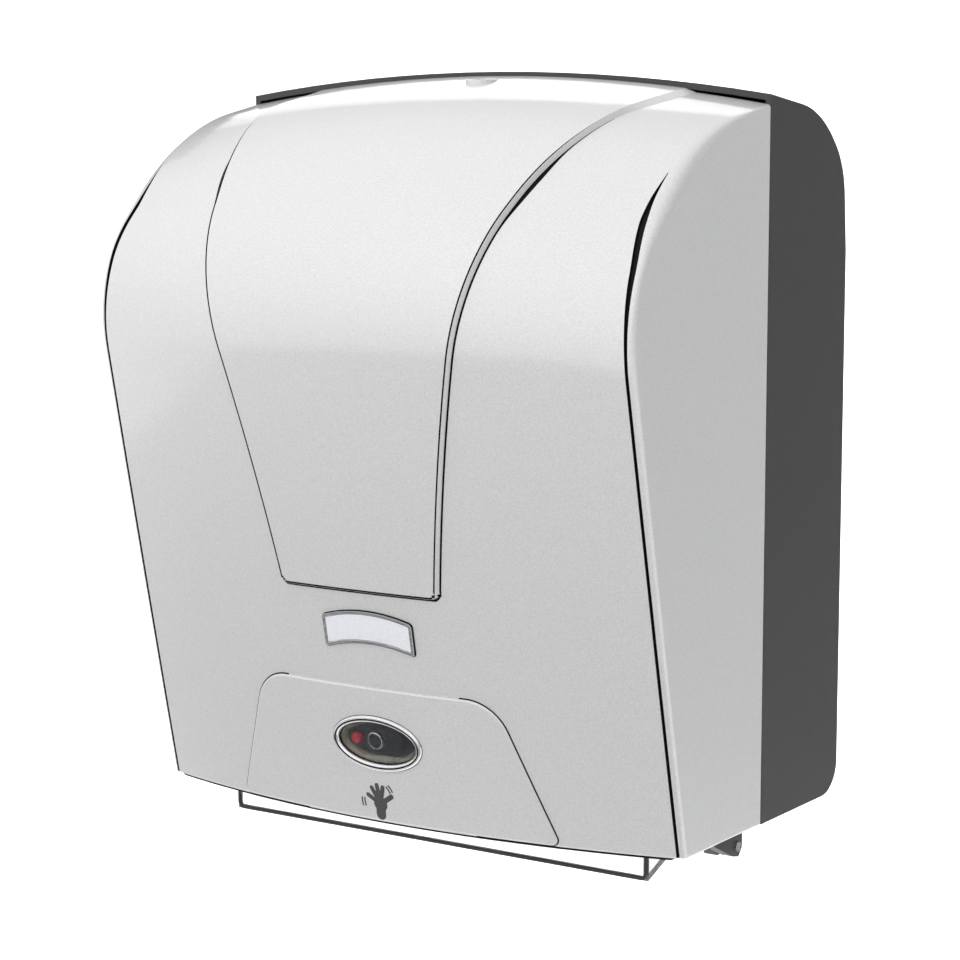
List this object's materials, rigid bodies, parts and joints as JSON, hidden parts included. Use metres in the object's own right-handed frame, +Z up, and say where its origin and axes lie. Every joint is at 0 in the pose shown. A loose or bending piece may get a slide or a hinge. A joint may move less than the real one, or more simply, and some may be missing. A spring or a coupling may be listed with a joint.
{
  "type": "automatic roll towel dispenser",
  "caption": "Wall-mounted automatic paper roll towel dispenser with a bowed hinged cover, oval sensor window, dark rear housing and clear paper chute.",
  "frame": {"origin": "centre of the four wall screw holes, on the wall plane at the back face", "axes": "+Y into the wall, +Z up, the front faces -Y, +X to the right as seen from the front"},
  "size_m": [0.306, 0.2286, 0.3812],
  "materials": {
    "cover_silver": "metallic silver paint on moulded plastic, satin",
    "housing_dark": "fine grained dark grey moulded plastic",
    "frame_grey": "mid grey moulded plastic",
    "clear_plastic": "clear moulded plastic",
    "chrome": "bright chrome plating",
    "steel": "ground steel",
    "rubber": "black rubber",
    "gear_plastic": "natural white gear plastic",
    "board": "green circuit board",
    "sensor_dark": "smoked dark plastic",
    "led_red": "red lens",
    "key_white": "light grey key plastic"
  },
  "bodies": {
    "root": {"rear_housing": "housing_dark", "hinge_pins": "steel", "left_side_frame": "frame_grey", "right_side_frame": "frame_grey", "frame_screws": "steel", "gear_plate": "frame_grey", "idler_axle": "steel", "gear_motor": "steel", "shaft_bushes": "gear_plastic", "tear_bar_holder": "frame_grey", "tear_bar": "steel", "paper_guide": "frame_grey", "paper_chute": "clear_plastic", "battery_box": "frame_grey", "battery_contacts": "steel", "control_panel": "frame_grey", "control_board": "board", "left_roll_arm": "frame_grey", "arm_bracket": "frame_grey", "arm_pin": "steel", "arm_spring": "steel"},
    "cover": {"front_cover": "cover_silver", "sensor_apron": "cover_silver", "sensor_bezel": "chrome", "sensor_window": "clear_plastic", "sensor_housing": "sensor_dark", "sensor_lenses": "sensor_dark", "sensor_board": "board", "status_led": "led_red", "cover_hinge_ears": "housing_dark"},
    "lock": {"lock_barrel": "chrome", "lock_cam": "steel"},
    "drive": {"drive_shaft": "steel", "drive_sleeves": "rubber", "drive_gear": "gear_plastic", "feed_wheel": "key_white"},
    "idler": {"idler_gear": "gear_plastic"},
    "pinion": {"motor_pinion": "gear_plastic"},
    "pinch_carrier": {"pinch_frame": "frame_grey"},
    "pinch_roller": {"pinch_shaft": "steel", "pinch_rollers": "rubber"},
    "left_hub": {"left_roll_hub": "gear_plastic"},
    "right_arm": {"right_roll_arm": "frame_grey"},
    "right_hub": {"right_roll_hub": "gear_plastic"},
    "door": {"battery_door": "frame_grey"},
    "rocker": {"power_rocker": "key_white"},
    "slider": {"length_slider": "key_white"},
    "button": {"feed_button": "key_white"}
  },
  "joints": [
    {"name": "cover_hinge", "type": "hinge", "parent": "root", "child": "cover", "pos_m": [0, -0.099, -0.1835], "axis": [1, 0, 0], "range_deg": [0, 90]},
    {"name": "lock_turn", "type": "hinge", "parent": "cover", "child": "lock", "pos_m": [0, -0.096, 0.175], "axis": [0, 0, 1], "range_deg": [0, 70]},
    {"name": "drive_spin", "type": "hinge", "parent": "root", "child": "drive", "pos_m": [0, -0.104, -0.118], "axis": [1, 0, 0], "continuous": true},
    {"name": "idler_spin", "type": "hinge", "parent": "root", "child": "idler", "pos_m": [0.1265, -0.0744, -0.12877], "axis": [1, 0, 0], "continuous": true},
    {"name": "pinion_spin", "type": "hinge", "parent": "root", "child": "pinion", "pos_m": [0.1265, -0.05565, -0.12877], "axis": [1, 0, 0], "continuous": true},
    {"name": "pinch_tilt", "type": "hinge", "parent": "root", "child": "pinch_carrier", "pos_m": [0, -0.1254, -0.086], "axis": [-1, 0, 0], "range_deg": [0, 10], "stiffness_Nm_per_rad": 0.8, "springref_deg": -11.46},
    {"name": "pinch_spin", "type": "hinge", "parent": "pinch_carrier", "child": "pinch_roller", "pos_m": [0, -0.1254, -0.118], "axis": [1, 0, 0], "continuous": true},
    {"name": "left_hub_spin", "type": "hinge", "parent": "root", "child": "left_hub", "pos_m": [-0.098, -0.105, 0.062], "axis": [1, 0, 0], "continuous": true},
    {"name": "right_arm_swing", "type": "hinge", "parent": "root", "child": "right_arm", "pos_m": [0.113, -0.014, 0.062], "axis": [0, 0, 1], "range_deg": [0, 12], "stiffness_Nm_per_rad": 1, "springref_deg": -11.46},
    {"name": "right_hub_spin", "type": "hinge", "parent": "right_arm", "child": "right_hub", "pos_m": [0.098, -0.105, 0.062], "axis": [1, 0, 0], "continuous": true},
    {"name": "battery_door_slide", "type": "slide", "parent": "root", "child": "door", "axis": [0, 0, 1], "range_m": [0, 0.06]},
    {"name": "power_rocker_tilt", "type": "hinge", "parent": "root", "child": "rocker", "pos_m": [-0.133, -0.119, -0.065], "axis": [1, 0, 0], "range_deg": [-12, 0]},
    {"name": "length_slide", "type": "slide", "parent": "root", "child": "slider", "axis": [0, 0, 1], "range_m": [-0.0035, 0.0035]},
    {"name": "feed_button_press", "type": "slide", "parent": "root", "child": "button", "axis": [0, 1, 0], "range_m": [0, 0.0015], "stiffness_N_per_m": 400, "springref_m": -0.001}
  ],
  "couplings": [
    {"joint": "idler_spin", "follows": "drive_spin", "ratio": -1.625},
    {"joint": "pinion_spin", "follows": "drive_spin", "ratio": 2.8889},
    {"joint": "pinch_spin", "follows": "drive_spin", "ratio": -1.625}
  ]
}
